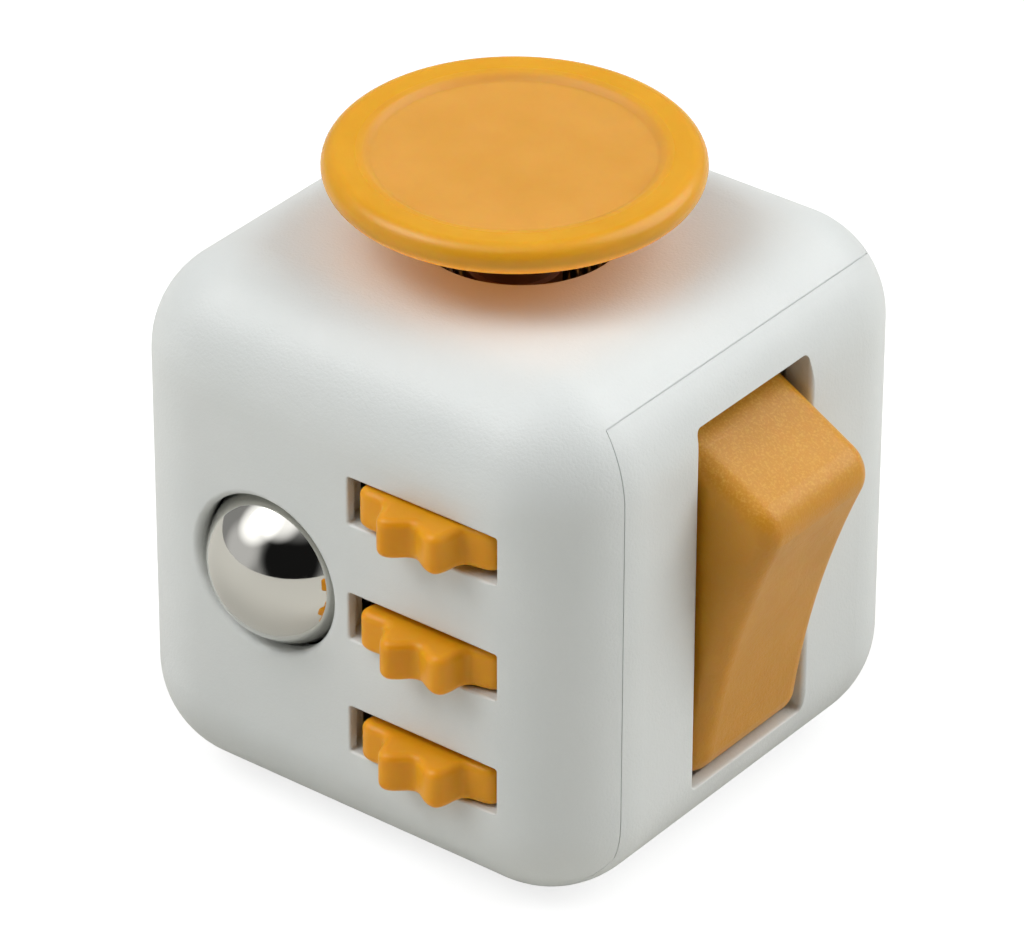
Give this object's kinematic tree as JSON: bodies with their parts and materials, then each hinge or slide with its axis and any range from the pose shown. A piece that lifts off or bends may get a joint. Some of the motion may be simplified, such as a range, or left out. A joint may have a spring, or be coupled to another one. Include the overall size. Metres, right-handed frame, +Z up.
{
  "type": "fidget cube",
  "caption": "Palm-sized rounded cube desk toy with a control on each face: gliding disc, rocker, chromed ball beside lobed wheels, push buttons, spinning dial and a thumb dimple.",
  "frame": {"origin": "centre of the bottom face, in the plane the cube rests on", "axes": "+Z up through the top face with the gliding disc; -Y out of the front face with the ball and gears; +X out of the right face with the rocker"},
  "size_m": [0.0403, 0.0396, 0.0387],
  "materials": {
    "white_plastic": "satin, very fine moulded texture",
    "amber_plastic": "semi-gloss, slightly translucent",
    "chrome": "polished",
    "dark_acetal": "matte",
    "grey_plastic": "matte",
    "steel": "zinc plated",
    "spring_steel": "bright",
    "silicone": "soft, matte"
  },
  "bodies": {
    "housing": {"shell_front": "white_plastic", "shell_back": "white_plastic", "glide_guide": "dark_acetal", "glide_guide_screws": "steel", "glide_springs": "spring_steel", "roll_bracket": "grey_plastic", "roll_screws": "steel", "gear_axle": "steel", "ball_dome": "spring_steel", "gear_spring_top": "spring_steel", "gear_spring_middle": "spring_steel", "gear_spring_bottom": "spring_steel", "flip_bracket": "grey_plastic", "flip_screws": "steel", "flip_pin": "steel", "click_base": "dark_acetal", "click_screws": "steel", "click_dome_lower_front": "spring_steel", "click_dome_centre": "spring_steel", "click_dome_upper_back": "spring_steel", "click_pad_upper_front": "silicone", "click_pad_lower_back": "silicone"},
    "glide_carriage": {"glide_cross_slide": "dark_acetal"},
    "glide": {"glide_cap": "amber_plastic", "glide_stem": "dark_acetal", "glide_retainer": "dark_acetal", "glide_screw": "steel"},
    "ball_seat": {"ball_cup": "dark_acetal"},
    "ball": {"ball": "chrome"},
    "gear_top": {"gear_top": "amber_plastic"},
    "gear_middle": {"gear_middle": "amber_plastic"},
    "gear_bottom": {"gear_bottom": "amber_plastic"},
    "rocker": {"flip_rocker": "amber_plastic", "flip_spring": "spring_steel"},
    "plunger": {"flip_plunger": "dark_acetal"},
    "dial": {"spin_dial": "amber_plastic", "spin_washer": "dark_acetal", "spin_screw": "steel"},
    "button_lower_front": {"button_lower_front": "amber_plastic"},
    "button_upper_front": {"button_upper_front": "amber_plastic"},
    "button_centre": {"button_centre": "amber_plastic"},
    "button_lower_back": {"button_lower_back": "amber_plastic"},
    "button_upper_back": {"button_upper_back": "amber_plastic"}
  },
  "joints": [
    {"name": "glide_x", "type": "slide", "parent": "housing", "child": "glide_carriage", "axis": [1, 0, 0], "range_m": [-0.002, 0.0024], "stiffness_N_per_m": 250, "deforming": ["glide_springs"]},
    {"name": "glide_y", "type": "slide", "parent": "glide_carriage", "child": "glide", "axis": [0, 1, 0], "range_m": [-0.0019, 0.0025], "stiffness_N_per_m": 250, "deforming": ["glide_springs"]},
    {"name": "ball_press", "type": "slide", "parent": "housing", "child": "ball_seat", "axis": [0, 1, 0], "range_m": [0, 0.0008], "stiffness_N_per_m": 1200, "deforming": ["ball_dome"]},
    {"name": "ball_roll", "type": "hinge", "parent": "ball_seat", "child": "ball", "pos_m": [-0.0052, -0.0137, 0.0166], "axis": [1, 0, 0], "continuous": true},
    {"name": "flip", "type": "hinge", "parent": "housing", "child": "rocker", "pos_m": [0.01, 0, 0.0169], "axis": [0, -1, 0], "range_deg": [0, 31.2]},
    {"name": "flip_detent", "type": "slide", "parent": "rocker", "child": "plunger", "axis": [0.9632, 0, -0.2689], "range_m": [0, 0.0006], "stiffness_N_per_m": 400, "deforming": ["flip_spring"]},
    {"name": "dial_spin", "type": "hinge", "parent": "housing", "child": "dial", "pos_m": [0, 0.0192, 0.0165], "axis": [0, 1, 0], "continuous": true},
    {"name": "gear_top_spin", "type": "hinge", "parent": "housing", "child": "gear_top", "pos_m": [0.0061, -0.0137, 0.02378], "axis": [0, 0, 1], "continuous": true, "deforming": ["gear_spring_top"]},
    {"name": "gear_middle_spin", "type": "hinge", "parent": "housing", "child": "gear_middle", "pos_m": [0.0061, -0.0137, 0.01628], "axis": [0, 0, 1], "continuous": true, "deforming": ["gear_spring_middle"]},
    {"name": "gear_bottom_spin", "type": "hinge", "parent": "housing", "child": "gear_bottom", "pos_m": [0.0061, -0.0137, 0.00878], "axis": [0, 0, 1], "continuous": true, "deforming": ["gear_spring_bottom"]},
    {"name": "press_lower_front", "type": "slide", "parent": "housing", "child": "button_lower_front", "axis": [1, 0, 0], "range_m": [0, 0.0008], "stiffness_N_per_m": 1500, "deforming": ["click_dome_lower_front"]},
    {"name": "press_upper_front", "type": "slide", "parent": "housing", "child": "button_upper_front", "axis": [1, 0, 0], "range_m": [0, 0.0008], "stiffness_N_per_m": 900, "deforming": ["click_pad_upper_front"]},
    {"name": "press_centre", "type": "slide", "parent": "housing", "child": "button_centre", "axis": [1, 0, 0], "range_m": [0, 0.0008], "stiffness_N_per_m": 1500, "deforming": ["click_dome_centre"]},
    {"name": "press_lower_back", "type": "slide", "parent": "housing", "child": "button_lower_back", "axis": [1, 0, 0], "range_m": [0, 0.0008], "stiffness_N_per_m": 900, "deforming": ["click_pad_lower_back"]},
    {"name": "press_upper_back", "type": "slide", "parent": "housing", "child": "button_upper_back", "axis": [1, 0, 0], "range_m": [0, 0.0008], "stiffness_N_per_m": 1500, "deforming": ["click_dome_upper_back"]}
  ]
}
